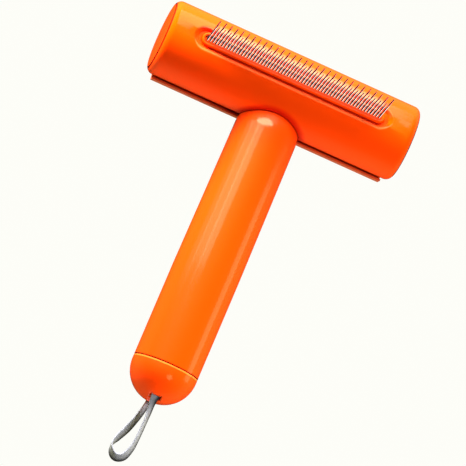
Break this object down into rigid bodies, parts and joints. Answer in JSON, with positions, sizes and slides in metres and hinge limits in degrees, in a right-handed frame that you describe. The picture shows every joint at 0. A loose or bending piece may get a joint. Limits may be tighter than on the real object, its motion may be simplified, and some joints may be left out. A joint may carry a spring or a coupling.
{
  "type": "pet deshedding tool",
  "caption": "T-shaped pet deshedding tool: round cross head with a steel pin comb and rubber scraper, round handle with a screwed end cap and ribbon loop.",
  "frame": {"origin": "on the handle axis, at the middle of the straight part of the grip", "axes": "+Y along the handle towards the head, +X along the head, +Z on the side the comb stands on; the tool lies on its back"},
  "size_m": [0.1138, 0.1899, 0.0557],
  "materials": {
    "orange_plastic": "satin gloss",
    "grey_plastic": "moulded",
    "polished_steel": "polished",
    "plated_steel": "zinc plated",
    "insert_brass": "turned",
    "orange_rubber": "satin",
    "black_rubber": "matte",
    "grey_ribbon": "woven"
  },
  "bodies": {
    "tool": {"head_shell": "orange_plastic", "end_lid_left": "orange_plastic", "end_lid_right": "orange_plastic", "comb_base": "orange_plastic", "comb_pins_long": "polished_steel", "comb_pins_short": "polished_steel", "comb_backing_strip": "plated_steel", "head_core": "grey_plastic", "comb_screws": "plated_steel", "handle_shell": "orange_plastic", "bolt_washer": "plated_steel", "bolt_spring_washer": "plated_steel", "handle_bolt": "plated_steel", "threaded_insert": "insert_brass", "rubber_scraper": "orange_rubber", "scraper_stiffener": "plated_steel"},
    "cap_seal": {"cap_seal_ring": "black_rubber"},
    "end_cap": {"handle_end_cap": "orange_plastic"},
    "ribbon": {"wrist_ribbon": "grey_ribbon", "ribbon_crimp": "plated_steel"}
  },
  "joints": [
    {"name": "cap_travel", "type": "slide", "parent": "tool", "child": "cap_seal", "axis": [0, -1, 0], "range_m": [0, 0.01]},
    {"name": "cap_turn", "type": "hinge", "parent": "cap_seal", "child": "end_cap", "pos_m": [0, -0.022, 0], "axis": [0, -1, 0], "range_deg": [0, 1440]},
    {"name": "ribbon_swing", "type": "hinge", "parent": "end_cap", "child": "ribbon", "pos_m": [0, -0.0335, 0], "axis": [1, 0, 0], "range_deg": [-20, 20], "stiffness_Nm_per_rad": 0.0005}
  ],
  "couplings": [
    {"joint": "cap_turn", "follows": "cap_travel", "rad_per_m": 2513.3}
  ]
}
